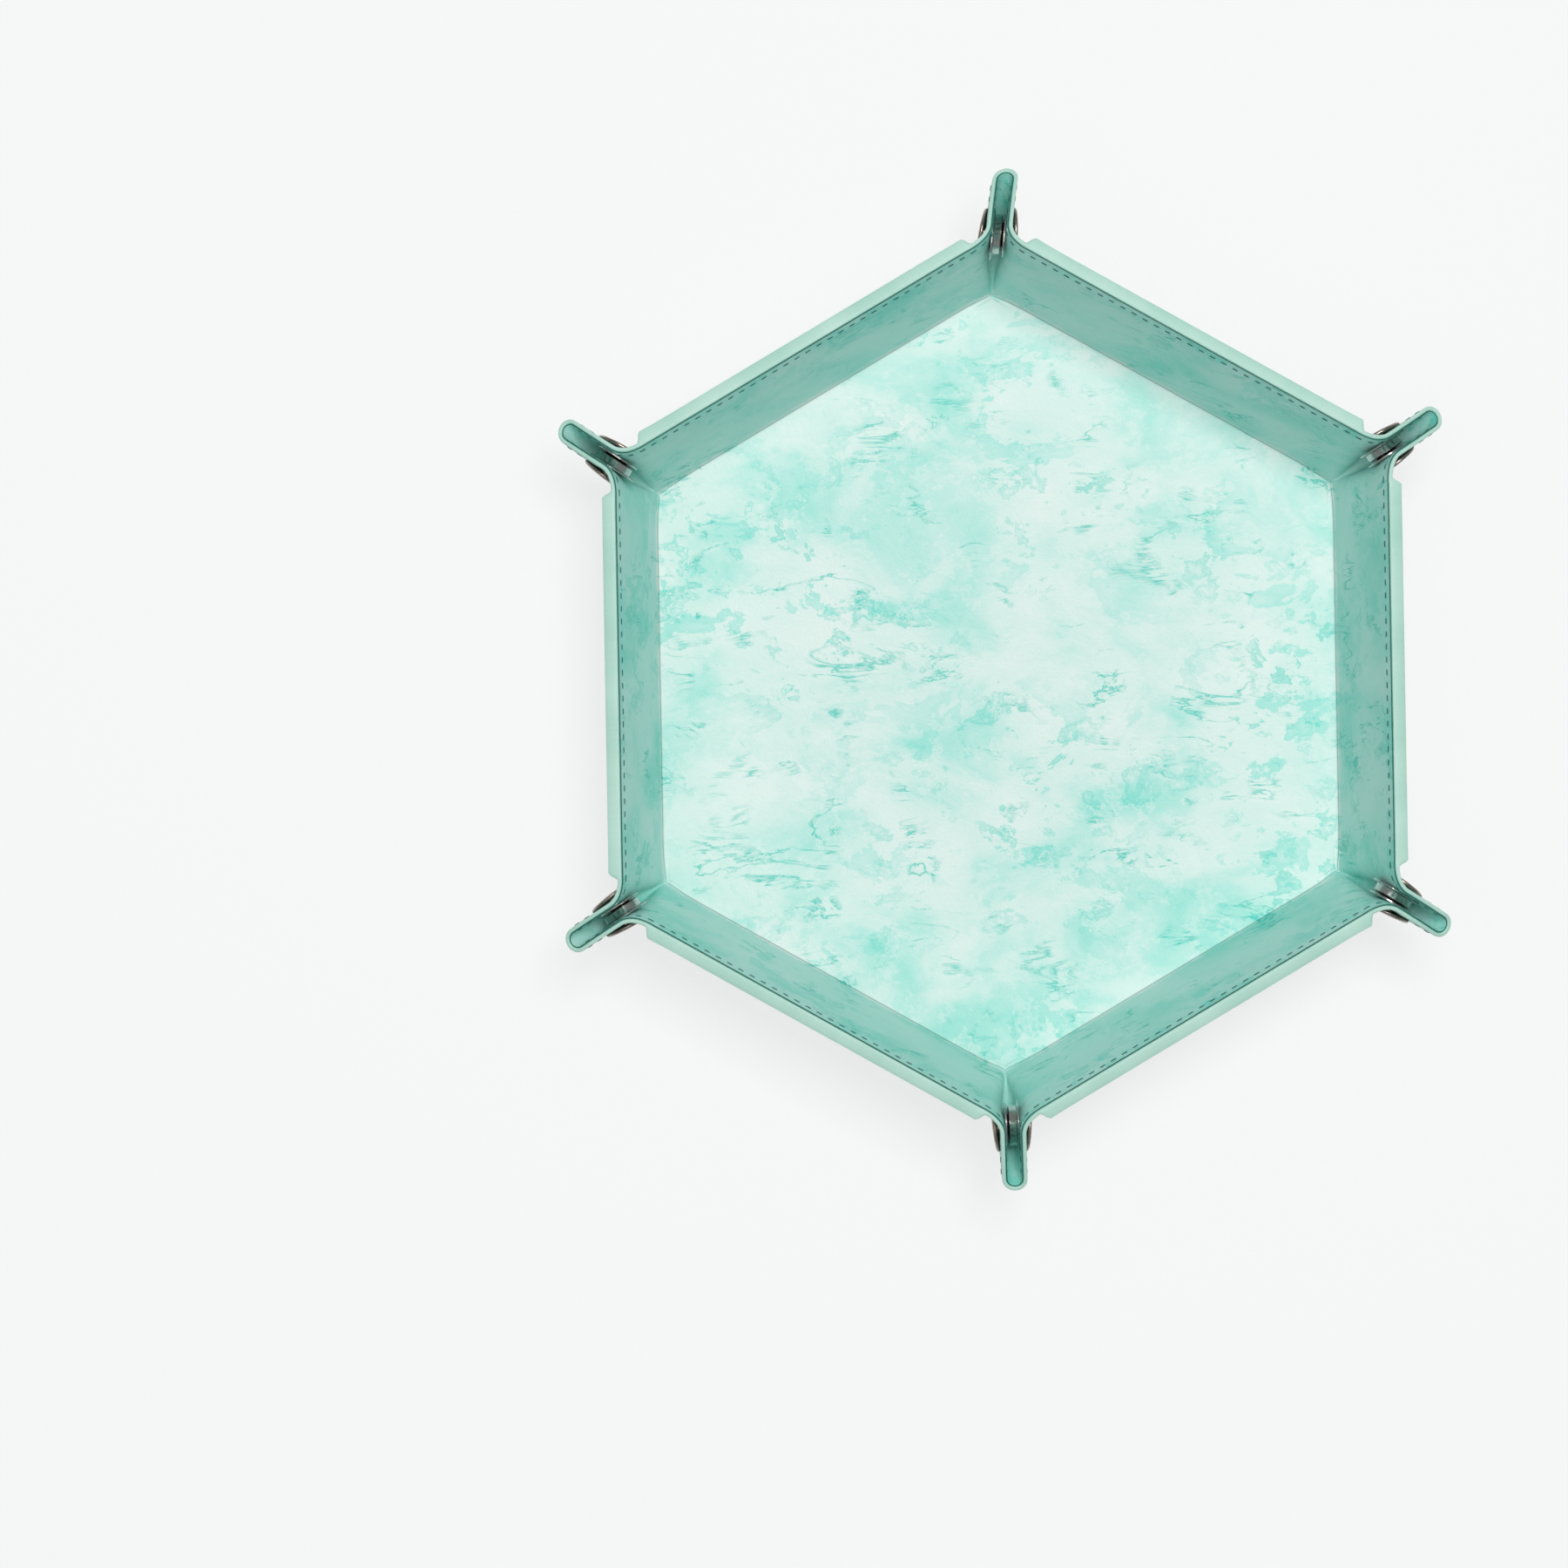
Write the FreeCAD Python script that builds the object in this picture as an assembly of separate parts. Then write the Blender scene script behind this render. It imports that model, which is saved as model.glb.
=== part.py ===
import FreeCAD, Part
import math
import os

# Folding six-sided dice tray, snapped up: a stiffened leather sheet whose six walls fold up
# about the edges of a hexagonal floor, with each corner pinched into an ear by a snap.
# Origin: centre of the underside of the floor. +Z up, wall 1 towards +X, walls counted
# counter-clockwise. Each wall is drawn flat and then folded up, so it also lies flat again.

# Driving dimensions, millimetres and degrees.
SIDES = 6
FLOOR_APOTHEM = 81.5        # floor centre to a wall fold
WALL_SLANT = 39.0           # fold to rim, along the wall
WALL_ANGLE = 77.5           # wall to floor when snapped up
CORNER_RADIUS = 46.6        # rounding of the flat sheet's corners
LEATHER = 0.65              # one layer of coated leather
BOARD = 2.3                 # stiffener between the layers
FOLD_GAP = 1.5              # bare leather each side of a fold
BOARD_END_MARGIN = 6.0      # bare leather from a board's end to the ear fold
EAR_GAP = 3.4               # between the inner faces of a pinched ear
EAR_ROOT = 9.0              # where the ear's flat part starts, from the floor's corner
SNAP_FROM_TIP = 10.8        # snap centre to the ear's tip, along the corner's centre line
SNAP_OFF_CENTRE = 9.7       # snap centre to the corner's centre line
CAP_RADIUS = 5.0
CAP_THICK = 0.9
CAP_EDGE_RADIUS = 0.6
STEM_RADIUS = 1.5
FLANGE_THICK = 0.5
STUD_FLANGE_RADIUS = 5.0
STUD_POST_RADIUS = 1.9
STUD_NECK_RADIUS = 1.7
SOCKET_FLANGE_RADIUS = 5.6
SOCKET_BODY_RADIUS = 4.3
SOCKET_CAVITY_RADIUS = 3.6
SOCKET_LIP_THICK = 0.6
SPRING_WIRE_RADIUS = 0.2

# Clearances, millimetres.
FOLD_CLEARANCE = 0.3        # inner leather to the fold line
EAR_FOLD_CLEARANCE = 0.15   # between outer faces at an ear fold that is fully bent
LOOP_CLEARANCE = 0.5        # ear's flat part to its rolled tip
TIP_CLEARANCE = 0.15        # rolled tip to the corner's centre plane
HOLE_CLEARANCE = 0.1        # snap stem in its leather hole
STUD_CLEARANCE = 0.4        # stud post in the socket's lip
STUD_END_CLEARANCE = 0.15   # stud tip to the socket's flange
SPRING_CLEARANCE = 0.08     # spring wires to the stud and to the socket's cavity
SNAP_FACE_CLEARANCE = 0.3   # socket lip to the stud's flange
RELIEF_CLEARANCE = 0.3      # wall leather to the caps that swing beside it

# Derived sizes.
THICK = 2 * LEATHER + BOARD
EAR_THICK = 2 * LEATHER
HALF_TURN = math.pi / SIDES
LEAN = math.radians(WALL_ANGLE)
SHEET_APOTHEM = FLOOR_APOTHEM + WALL_SLANT
FLOOR_CORNER = FLOOR_APOTHEM * math.tan(HALF_TURN)
EAR_OFFSET = EAR_GAP / 2 + LEATHER
EAR_BEND = math.acos(math.sin(HALF_TURN) * math.sin(LEAN))
EAR_FOLD_SLOPE = math.cos(LEAN) * math.tan(HALF_TURN)
EAR_FOLD_TILT = math.atan(EAR_FOLD_SLOPE)
EAR_FOLD_X = (FLOOR_APOTHEM + LEATHER * math.sin(LEAN)) * math.tan(HALF_TURN) \
    - EAR_OFFSET / math.cos(HALF_TURN)
EAR_FOLD_INSET = LEATHER * math.tan(EAR_BEND / 2) + EAR_FOLD_CLEARANCE
ROLL_LENGTH = math.pi / 2 * EAR_OFFSET
TIP_REACH = (WALL_SLANT - CORNER_RADIUS) / math.cos(HALF_TURN) + CORNER_RADIUS
SNAP_REACH = TIP_REACH - SNAP_FROM_TIP
SOCKET_HEIGHT = EAR_GAP - FLANGE_THICK - SNAP_FACE_CLEARANCE
SOCKET_LIP_RADIUS = STUD_POST_RADIUS + STUD_CLEARANCE
STUD_HEIGHT = EAR_GAP - FLANGE_THICK - STUD_END_CLEARANCE
SPRING_HEIGHT = (FLANGE_THICK + SOCKET_HEIGHT - SOCKET_LIP_THICK) / 2
SPRING_OFFSET = STUD_POST_RADIUS + SPRING_CLEARANCE + SPRING_WIRE_RADIUS

STUD_END = -1               # a wall's counter-clockwise end carries the stud
SOCKET_END = 1              # and its clockwise end the socket
UP = FreeCAD.Vector(0, 0, 1)
ORIGIN = FreeCAD.Vector(0, 0, 0)


# A wall's flat frame: origin on its fold, x clockwise along the fold, y outward, z up from
# the leather's inner face.

def at(x, y, z=0.0):
    return FreeCAD.Vector(x, y, z)


def along_corner(end):
    """Direction of the corner's centre line at one end of a flat wall."""
    return at(end * math.sin(HALF_TURN), math.cos(HALF_TURN))


def across_corner(end):
    """Direction from the wall towards the corner's centre line."""
    return at(end * math.cos(HALF_TURN), -math.sin(HALF_TURN))


def corner_point(end, reach, off_centre, height=0.0):
    """A point by its distance along the corner's centre line and its distance off it."""
    start = at(end * FLOOR_CORNER, 0, height)
    return start + along_corner(end) * reach - across_corner(end) * off_centre


def ear_fold_x(y, inset=0.0):
    return EAR_FOLD_X + EAR_FOLD_SLOPE * y - inset / math.cos(EAR_FOLD_TILT)


def ear_fold_off_centre(reach, inset):
    """Distance from the corner's centre line to the ear fold, less an inset."""
    spare = FLOOR_CORNER - EAR_FOLD_X
    turn = HALF_TURN - EAR_FOLD_TILT
    start = spare * math.cos(HALF_TURN)
    run = reach + spare * math.sin(HALF_TURN)
    return start + run * math.tan(turn) - inset / math.cos(turn)


def prism(points, low, high):
    """Upright prism on a closed outline, between two heights."""
    outline = [at(p.x, p.y, low) for p in points]
    face = Part.Face(Part.makePolygon(outline + outline[:1]))
    return face.extrude(UP * (high - low))


def hexagon(apothem, low, high):
    radius = apothem / math.cos(HALF_TURN)
    turns = [2 * HALF_TURN * (side + 0.5) for side in range(SIDES)]
    return prism([at(radius * math.cos(t), radius * math.sin(t)) for t in turns], low, high)


def round_sheet(low, high):
    """The whole flat sheet with its rounded corners, in a wall's flat frame."""
    sheet = hexagon(SHEET_APOTHEM, low, high)
    uprights = [edge for edge in sheet.Edges if abs(edge.Vertexes[0].Z - edge.Vertexes[-1].Z) > 1e-6]
    sheet = sheet.makeFillet(CORNER_RADIUS, uprights)
    sheet.rotate(ORIGIN, UP, math.degrees(HALF_TURN))
    sheet.translate(at(0, -FLOOR_APOTHEM))
    return sheet


def wall_outline(bottom, top, inset):
    """Four corners of a wall piece that ends at a distance short of both ear folds."""
    low = ear_fold_x(bottom, inset)
    high = ear_fold_x(top, inset)
    return [at(-low, bottom), at(low, bottom), at(high, top), at(-high, top)]


def ear_outline(end):
    """Corners of an ear's flat part, which runs past the sheet's edge at its outer end."""
    far = TIP_REACH + CORNER_RADIUS
    near_off = ear_fold_off_centre(EAR_ROOT, EAR_FOLD_INSET)
    far_off = ear_fold_off_centre(far, EAR_FOLD_INSET)
    roll_off = ROLL_LENGTH + LOOP_CLEARANCE
    return [corner_point(end, EAR_ROOT, near_off), corner_point(end, far, far_off),
            corner_point(end, far, roll_off), corner_point(end, EAR_ROOT, roll_off)]


def snap_centre(end, height=0.0):
    return corner_point(end, SNAP_REACH, SNAP_OFF_CENTRE, height)


# Folding from the flat frame to the place in the snapped-up tray.

def fold_ear(shape, end):
    ear_axis = at(end * math.sin(EAR_FOLD_TILT), math.cos(EAR_FOLD_TILT))
    shape.rotate(at(end * EAR_FOLD_X, 0, -LEATHER), ear_axis, end * math.degrees(EAR_BEND))
    return shape


def fold_wall(shape, wall):
    shape.rotate(ORIGIN, at(1, 0), WALL_ANGLE)
    shape.translate(at(0, FLOOR_APOTHEM, THICK))
    shape.rotate(ORIGIN, UP, math.degrees(2 * HALF_TURN * (wall - 1)) - 90)
    return shape


# The pieces.

def base_board():
    return hexagon(FLOOR_APOTHEM - FOLD_GAP - LEATHER, LEATHER, LEATHER + BOARD)


def floor_outer_leather():
    cover = hexagon(FLOOR_APOTHEM - FOLD_GAP, 0, LEATHER + BOARD)
    return cover.cut(base_board())


def floor_inner_leather():
    return hexagon(FLOOR_APOTHEM - FOLD_CLEARANCE, LEATHER + BOARD, THICK)


def wall_board():
    outline = wall_outline(FOLD_GAP + LEATHER, WALL_SLANT - LEATHER, BOARD_END_MARGIN)
    return prism(outline, -LEATHER - BOARD, -LEATHER)


def cap_relief(end):
    """Room beside the ear fold for the snap's cap as the ear swings."""
    off_fold = ear_fold_off_centre(SNAP_REACH, 0) - SNAP_OFF_CENTRE
    off_fold = off_fold * math.cos(HALF_TURN - EAR_FOLD_TILT)
    overhang = CAP_RADIUS - off_fold
    if overhang <= 0:
        return None
    radius = math.hypot(overhang, LEATHER + CAP_THICK) + RELIEF_CLEARANCE
    half_length = math.sqrt(CAP_RADIUS ** 2 - off_fold ** 2) + RELIEF_CLEARANCE
    ear_axis = at(end * math.sin(EAR_FOLD_TILT), math.cos(EAR_FOLD_TILT))
    start = at(end * EAR_FOLD_X, 0, -LEATHER)
    run = (snap_centre(end, -LEATHER) - start).dot(ear_axis)
    return Part.makeCylinder(radius, 2 * half_length, start + ear_axis * (run - half_length), ear_axis)


def relieve(shape):
    for end in (STUD_END, SOCKET_END):
        relief = cap_relief(end)
        if relief:
            shape = shape.cut(relief)
    return shape


def wall_inner_leather():
    reach = WALL_SLANT + CORNER_RADIUS
    panel = prism(wall_outline(FOLD_CLEARANCE, reach, EAR_FOLD_INSET), -LEATHER, 0)
    return relieve(panel.common(round_sheet(-LEATHER, 0)))


def wall_outer_leather():
    reach = WALL_SLANT + CORNER_RADIUS
    pocket = prism(wall_outline(FOLD_GAP, reach, BOARD_END_MARGIN - LEATHER), -THICK, -LEATHER)
    margin = prism(wall_outline(FOLD_GAP, reach, EAR_FOLD_INSET), -EAR_THICK, -LEATHER)
    cover = pocket.fuse(margin).common(round_sheet(-THICK, -LEATHER))
    return relieve(cover.cut(wall_board()).removeSplitter())


def ear_leather(end):
    """Two layers of the ear's flat part, with the hole for its snap."""
    hole_radius = STEM_RADIUS + HOLE_CLEARANCE
    hole = Part.makeCylinder(hole_radius, 2 * EAR_THICK, snap_centre(end, -1.5 * EAR_THICK), UP)
    layers = []
    for top in (0, -LEATHER):
        layer = prism(ear_outline(end), top - LEATHER, top)
        layer = layer.common(round_sheet(top - LEATHER, top))
        layers.append(layer.cut(hole))
    return layers


def ear_roll(end):
    """Two layers of the quarter roll that carries the ear round to the corner's centre."""
    rise = EAR_OFFSET - LEATHER
    start = corner_point(end, EAR_ROOT, ROLL_LENGTH, rise)
    length = along_corner(end) * (TIP_REACH - EAR_ROOT)
    sweep = math.degrees(math.acos(TIP_CLEARANCE / (EAR_OFFSET - LEATHER)))
    layers = []
    for inner in (EAR_OFFSET - LEATHER, EAR_OFFSET):
        low = start - UP * inner
        high = start - UP * (inner + LEATHER)
        strip = Part.Face(Part.makePolygon([low, high, high + length, low + length, low]))
        layers.append(strip.revolve(start, along_corner(end) * -end, sweep))
    return layers


def cap(end):
    """Domed outside cap whose stem goes through the leather."""
    head = Part.makeCylinder(CAP_RADIUS, CAP_THICK, snap_centre(end, -EAR_THICK - CAP_THICK), UP)
    rim = [edge for edge in head.Edges if abs(edge.BoundBox.ZMax + EAR_THICK + CAP_THICK) < 1e-6]
    head = head.makeFillet(CAP_EDGE_RADIUS, rim)
    stem = Part.makeCylinder(STEM_RADIUS, EAR_THICK, snap_centre(end, -EAR_THICK), UP)
    return head.fuse(stem).removeSplitter()


def turned(end, profile):
    """Solid turned about the snap's axis from a half profile of (radius, height) points."""
    centre = snap_centre(end)
    points = [centre + at(radius, 0, height) for radius, height in profile]
    face = Part.Face(Part.makePolygon(points + points[:1]))
    return face.revolve(centre, UP, 360)


def stud_half(end):
    neck_top = FLANGE_THICK + (STUD_HEIGHT - FLANGE_THICK) / 2
    nose = STUD_HEIGHT - (STUD_POST_RADIUS - STUD_NECK_RADIUS)
    stud = turned(end, [(0, 0), (STUD_FLANGE_RADIUS, 0), (STUD_FLANGE_RADIUS, FLANGE_THICK),
                        (STUD_NECK_RADIUS, FLANGE_THICK), (STUD_NECK_RADIUS, neck_top),
                        (STUD_POST_RADIUS, neck_top + STUD_POST_RADIUS - STUD_NECK_RADIUS),
                        (STUD_POST_RADIUS, nose), (STUD_NECK_RADIUS, STUD_HEIGHT),
                        (0, STUD_HEIGHT)])
    return [cap(end), stud]


def socket_half(end):
    lip_bottom = SOCKET_HEIGHT - SOCKET_LIP_THICK
    socket = turned(end, [(0, 0), (SOCKET_FLANGE_RADIUS, 0), (SOCKET_FLANGE_RADIUS, FLANGE_THICK),
                          (SOCKET_BODY_RADIUS, FLANGE_THICK), (SOCKET_BODY_RADIUS, SOCKET_HEIGHT),
                          (SOCKET_LIP_RADIUS, SOCKET_HEIGHT), (SOCKET_LIP_RADIUS, lip_bottom),
                          (SOCKET_CAVITY_RADIUS, lip_bottom), (SOCKET_CAVITY_RADIUS, FLANGE_THICK),
                          (0, FLANGE_THICK)])
    return [cap(end), socket] + spring_wires(end)


def spring_wires(end):
    """The two straight legs of the wire spring that grips the stud's neck."""
    reach = SOCKET_CAVITY_RADIUS - SPRING_CLEARANCE
    half_length = math.sqrt(reach ** 2 - (SPRING_OFFSET + SPRING_WIRE_RADIUS) ** 2)
    legs = []
    for side in (-1, 1):
        middle = snap_centre(end, SPRING_HEIGHT) + across_corner(end) * (side * SPRING_OFFSET)
        start = middle - along_corner(end) * half_length
        legs.append(Part.makeCylinder(SPRING_WIRE_RADIUS, 2 * half_length, start, along_corner(end)))
    return legs


def save(node, solids):
    shape = Part.makeCompound(solids) if len(solids) > 1 else solids[0]
    assert shape.isValid(), node
    shape.exportStep("parts/" + node + ".step")


def save_wall(wall):
    name = "wall_%d_" % wall
    for piece, make in (("board", wall_board), ("inner_leather", wall_inner_leather),
                        ("outer_leather", wall_outer_leather)):
        save(name + piece, [fold_wall(make(), wall)])
    for end, side in ((STUD_END, "stud"), (SOCKET_END, "socket")):
        make_snap = stud_half if end == STUD_END else socket_half
        for piece, make in (("_ear", ear_leather), ("_ear_tip", ear_roll), ("_snap", make_snap)):
            solids = [fold_wall(fold_ear(solid, end), wall) for solid in make(end)]
            save(name + side + piece, solids)


os.makedirs("parts", exist_ok=True)
save("base_board", [base_board()])
save("floor_inner_leather", [floor_inner_leather()])
save("floor_outer_leather", [floor_outer_leather()])
for wall_number in range(1, SIDES + 1):
    save_wall(wall_number)
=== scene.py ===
import math

import bmesh
import bpy
import numpy as np
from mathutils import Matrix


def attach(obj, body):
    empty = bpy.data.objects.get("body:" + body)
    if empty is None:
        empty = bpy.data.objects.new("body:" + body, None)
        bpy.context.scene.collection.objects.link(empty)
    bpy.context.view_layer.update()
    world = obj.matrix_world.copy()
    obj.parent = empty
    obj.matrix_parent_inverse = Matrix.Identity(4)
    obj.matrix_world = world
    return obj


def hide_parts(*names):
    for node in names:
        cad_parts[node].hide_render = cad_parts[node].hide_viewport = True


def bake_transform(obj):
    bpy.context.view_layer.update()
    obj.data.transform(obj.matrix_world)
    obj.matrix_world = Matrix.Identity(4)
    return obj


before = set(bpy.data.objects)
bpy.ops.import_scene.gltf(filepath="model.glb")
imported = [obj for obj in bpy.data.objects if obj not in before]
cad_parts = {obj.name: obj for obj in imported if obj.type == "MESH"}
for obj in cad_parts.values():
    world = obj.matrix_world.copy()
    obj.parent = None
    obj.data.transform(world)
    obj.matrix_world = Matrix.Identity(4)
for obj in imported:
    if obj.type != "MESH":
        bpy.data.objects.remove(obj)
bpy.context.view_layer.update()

# Folding dice tray, snapped up. The leather is modelled as one flat sheet that is folded by
# formulas: every vertex starts from its place on the flat sheet, which also carries the
# marbling, so the pattern runs on across the folds. Lengths are in millimetres until a mesh
# is made. A wall's flat frame has its origin on its fold, y outward and z up from the inner
# face; x is measured towards whichever end is being shaped.

MM = 0.001
SIDES = 6
FLOOR_APOTHEM = 81.5
WALL_SLANT = 39.0
WALL_ANGLE = 77.5
CORNER_RADIUS = 46.6
LEATHER = 0.65
BOARD = 2.3
FOLD_GAP = 1.5
FOLD_SOFT = 0.7             # reach of the floor fold's rounding, each side of it
CREASE_SHADE_HALF_WIDTH = 0.22            # half width of the painted shade in the floor fold's crease
EAR_GAP = 3.4
SNAP_FROM_TIP = 10.8
SNAP_OFF_CENTRE = 9.7
INNER_SKIN = 0.35           # how deep the marbled layer shows at a cut edge
RIM_ROUND = 0.6             # rounding of the turned rim
ROOT_REACH = 16.0           # length over which the ear opens from its root
EAR_STRETCH = 2.0           # how far the soft tips reach past their solids
BEND_ON_WALL = 5.2          # soft bend beside the ear, on the wall
BEND_ON_EAR = 3.2           # and on the ear
ROOT_BEND_ON_WALL = 1.0     # the same two at the ear's root
ROOT_BEND_ON_EAR = 0.5
EASE_REACH = 20.0           # length over which the bend grows from its root
WALL_PAINTED_SHADE = 0.62            # painted shade: the walls' colour is darkened this much more than the floor's, for the shade they get from the lamps,
WALL_PAINTED_SHADE_REACH = 2.5       # which it reaches this far past the fold
SWELL_START = 4.2           # where the leather starts to swell over a stiffener's end,
SWELL_LENGTH = 1.6          # from the ear fold, and how fast it rises
FOLD_SWELL_START = 0.9      # the same at the floor fold
FOLD_SWELL_LENGTH = 1.2
STITCH_PITCH = 3.0
STITCH_LENGTH = 1.5
STITCH_RADIUS = 0.2
STITCH_FROM_RIM = 2.8
PANEL_END = 5.3             # where a wall's rigid part ends, from the ear fold

THICK = 2 * LEATHER + BOARD
EAR_THICK = 2 * LEATHER
HALF_TURN = math.pi / SIDES
SIN_H, COS_H = math.sin(HALF_TURN), math.cos(HALF_TURN)
LEAN = math.radians(WALL_ANGLE)
FLOOR_CORNER = FLOOR_APOTHEM * math.tan(HALF_TURN)
EAR_HALF_GAP = EAR_GAP / 2
EAR_OFFSET = EAR_HALF_GAP + LEATHER
EAR_BEND = math.acos(SIN_H * math.sin(LEAN))
EAR_TILT = math.atan(math.cos(LEAN) * math.tan(HALF_TURN))
EAR_FOLD_X = (FLOOR_APOTHEM + LEATHER * math.sin(LEAN)) * math.tan(HALF_TURN) - EAR_OFFSET / COS_H
TIP_REACH = (WALL_SLANT - CORNER_RADIUS) / COS_H + CORNER_RADIUS
SNAP_REACH = TIP_REACH - SNAP_FROM_TIP
ARC_Y = WALL_SLANT - CORNER_RADIUS
ARC_X = FLOOR_CORNER + ARC_Y * math.tan(HALF_TURN)
ROW_END = ARC_X + CORNER_RADIUS * HALF_TURN

# Sideways bend of each corner's ear in millimetres at its tip, counter-clockwise positive. The
# key counts the corners counter-clockwise from the one between walls 1 and 2, which is 0.
EAR_LEAN = {1: -2.8, 2: -1.6, 3: 0.9, 4: 0.6, 5: -0.8, 0: 1.0}
LEAN_FROM = 98.0            # how far out from the tray's centre that bend starts
STRETCH_FROM = 100.0        # and where the soft tips start to reach further
TIP_LENGTH = 20.0           # length of ear over which both grow
LEAN_WIDTH = 24.0           # how far off the corner's centre line they act
LEAN_FADE = 8.0             # and the width over which they fade out

SEARCH_STEPS = 40           # halvings when a row's crossing is searched for
MEET_WIDTH = 6.0            # width at a corner's centre line over which its two halves are joined
INNER_RIM = 0.45            # how far the marbled layer stops short of the rim
CREASE_PAINTED_SHADE = 0.55      # painted shade in the floor fold's crease, as a share of the cut-edge colour


# Small helpers.

def smooth(t):
    t = np.clip(t, 0, 1)
    return t * t * (3 - 2 * t)


def corner_coords(x, y):
    """Distance along the corner's centre line and distance off it."""
    dx = x - FLOOR_CORNER
    return dx * SIN_H + y * COS_H, y * SIN_H - dx * COS_H


def from_corner(reach, off):
    return FLOOR_CORNER + reach * SIN_H - off * COS_H, reach * COS_H + off * SIN_H


def row_point(row, v):
    """Flat point on a row concentric with the rim; v runs along the row to its corner."""
    turn = np.clip((v - ARC_X) / CORNER_RADIUS, 0, None)
    radius = row - ARC_Y
    straight = v < ARC_X
    x = np.where(straight, v, ARC_X + radius * np.sin(turn))
    y = np.where(straight, row, ARC_Y + radius * np.cos(turn))
    return x, y


def fold_distance(x, y):
    """Distance past the ear fold, measured square to it."""
    return (x - EAR_FOLD_X) * math.cos(EAR_TILT) - y * math.sin(EAR_TILT)


def row_at_fold(row, distance):
    """The v of a row where it lies at a distance past the ear fold."""
    low = np.zeros_like(row)
    high = np.full_like(row, ROW_END)
    for _ in range(SEARCH_STEPS):
        middle = (low + high) / 2
        past = fold_distance(*row_point(row, middle)) > distance
        high = np.where(past, middle, high)
        low = np.where(past, low, middle)
    return (low + high) / 2


def bend_shape(reach):
    """The ear's opening, how far its fold has moved in, and the bend's two reaches."""
    opening = np.clip(reach / ROOT_REACH, 0, 1)
    start = EAR_FOLD_X + (1 - opening) * EAR_HALF_GAP / COS_H
    ease = np.clip(reach / EASE_REACH, 0, 1)
    before = ROOT_BEND_ON_WALL + (BEND_ON_WALL - ROOT_BEND_ON_WALL) * ease
    after = ROOT_BEND_ON_EAR + (BEND_ON_EAR - ROOT_BEND_ON_EAR) * ease
    return opening, start, before, after


def bend_end(row):
    """The v of a row at the end of its soft bend."""
    low = np.zeros_like(row)
    high = np.full_like(row, ROW_END)
    for _ in range(SEARCH_STEPS):
        middle = (low + high) / 2
        x, y = row_point(row, middle)
        _, start, _, after = bend_shape(corner_coords(x, y)[0])
        past = (x - start) * math.cos(EAR_TILT) - y * math.sin(EAR_TILT) > after
        high = np.where(past, middle, high)
        low = np.where(past, low, middle)
    return (low + high) / 2


def turn_about(a, b, angle):
    return a * math.cos(angle) - b * math.sin(angle), a * math.sin(angle) + b * math.cos(angle)


# Folding the flat sheet.

def soft_bend(along, height, before, after, angle):
    """Bend of a strip through an angle, eased from `before` ahead of the fold to `after` past it."""
    u = np.clip((along + before) / (before + after), 0, 1)
    ca, sa = np.cos(angle), np.sin(angle)
    ta = (1 - u) * before + u * after * ca
    tb = u * after * sa
    size = np.hypot(ta, tb)
    ta, tb = ta / size, tb / size
    bent_a = -(1 - u) ** 2 * before + u ** 2 * after * ca
    bent_b = u ** 2 * after * sa
    a = np.where(u <= 0, along, np.where(u >= 1, along * ca, bent_a))
    b = np.where(u <= 0, 0, np.where(u >= 1, along * sa, bent_b))
    return a - height * tb, b + height * ta


def pinch(x, y, z, strength):
    """The corner drawn together: the ear's roll at the centre line, then its bend off the wall."""
    reach, off = corner_coords(x, y)
    opening, start, before, after = bend_shape(reach)
    gap = EAR_HALF_GAP * opening
    radius = gap + LEATHER
    length = math.pi / 2 * radius
    turn = np.clip((length - off) / radius, 0, None)
    rolled = off < length
    new_off = np.where(rolled, length - (gap - z) * np.sin(turn), off)
    new_z = np.where(rolled, gap - (gap - z) * np.cos(turn), z)
    off = off + strength * (new_off - off)
    z = z + strength * (new_z - z)
    x, y = from_corner(reach, off)
    past = (x - start) * math.cos(EAR_TILT) - y * math.sin(EAR_TILT)
    run = (x - start) * math.sin(EAR_TILT) + y * math.cos(EAR_TILT)
    past, height = soft_bend(past, z + LEATHER, before, after, -EAR_BEND * strength)
    x = start + past * math.cos(EAR_TILT) + run * math.sin(EAR_TILT)
    y = run * math.cos(EAR_TILT) - past * math.sin(EAR_TILT)
    return x, y, height - LEATHER


def raise_wall(x, y, z, row):
    """Fold the wall up; rows inside the fold's bare strip follow its bend."""
    ca, sa = math.cos(LEAN), math.sin(LEAN)
    u = np.clip((row + FOLD_SOFT) / (2 * FOLD_SOFT), 0, 1)
    ta = (1 - u) + u * ca
    tb = u * sa
    size = np.hypot(ta, tb)
    ta, tb = ta / size, tb / size
    base_y = FOLD_SOFT * (u ** 2 * ca - (1 - u) ** 2)
    base_z = FOLD_SOFT * u ** 2 * sa
    spare = y - np.clip(row, -FOLD_SOFT, FOLD_SOFT)
    return x, FLOOR_APOTHEM + base_y + spare * ta - z * tb, THICK + base_z + spare * tb + z * ta


def fold_end(x, y, z, row):
    """One end of a wall, folded, in the wall's own upright frame."""
    strength = smooth((row + FOLD_GAP) / (2 * FOLD_GAP))
    folded = raise_wall(*pinch(x, y, z, strength), row)
    end_x, end_y = row_end(row)
    end = raise_wall(*pinch(end_x, end_y, z, strength), row)
    over = end[0] * COS_H - end[1] * SIN_H
    near = smooth(1 - corner_coords(x, y)[1] / MEET_WIDTH)
    return folded[0] - over * near * COS_H, folded[1] + over * near * SIN_H, folded[2]


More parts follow.
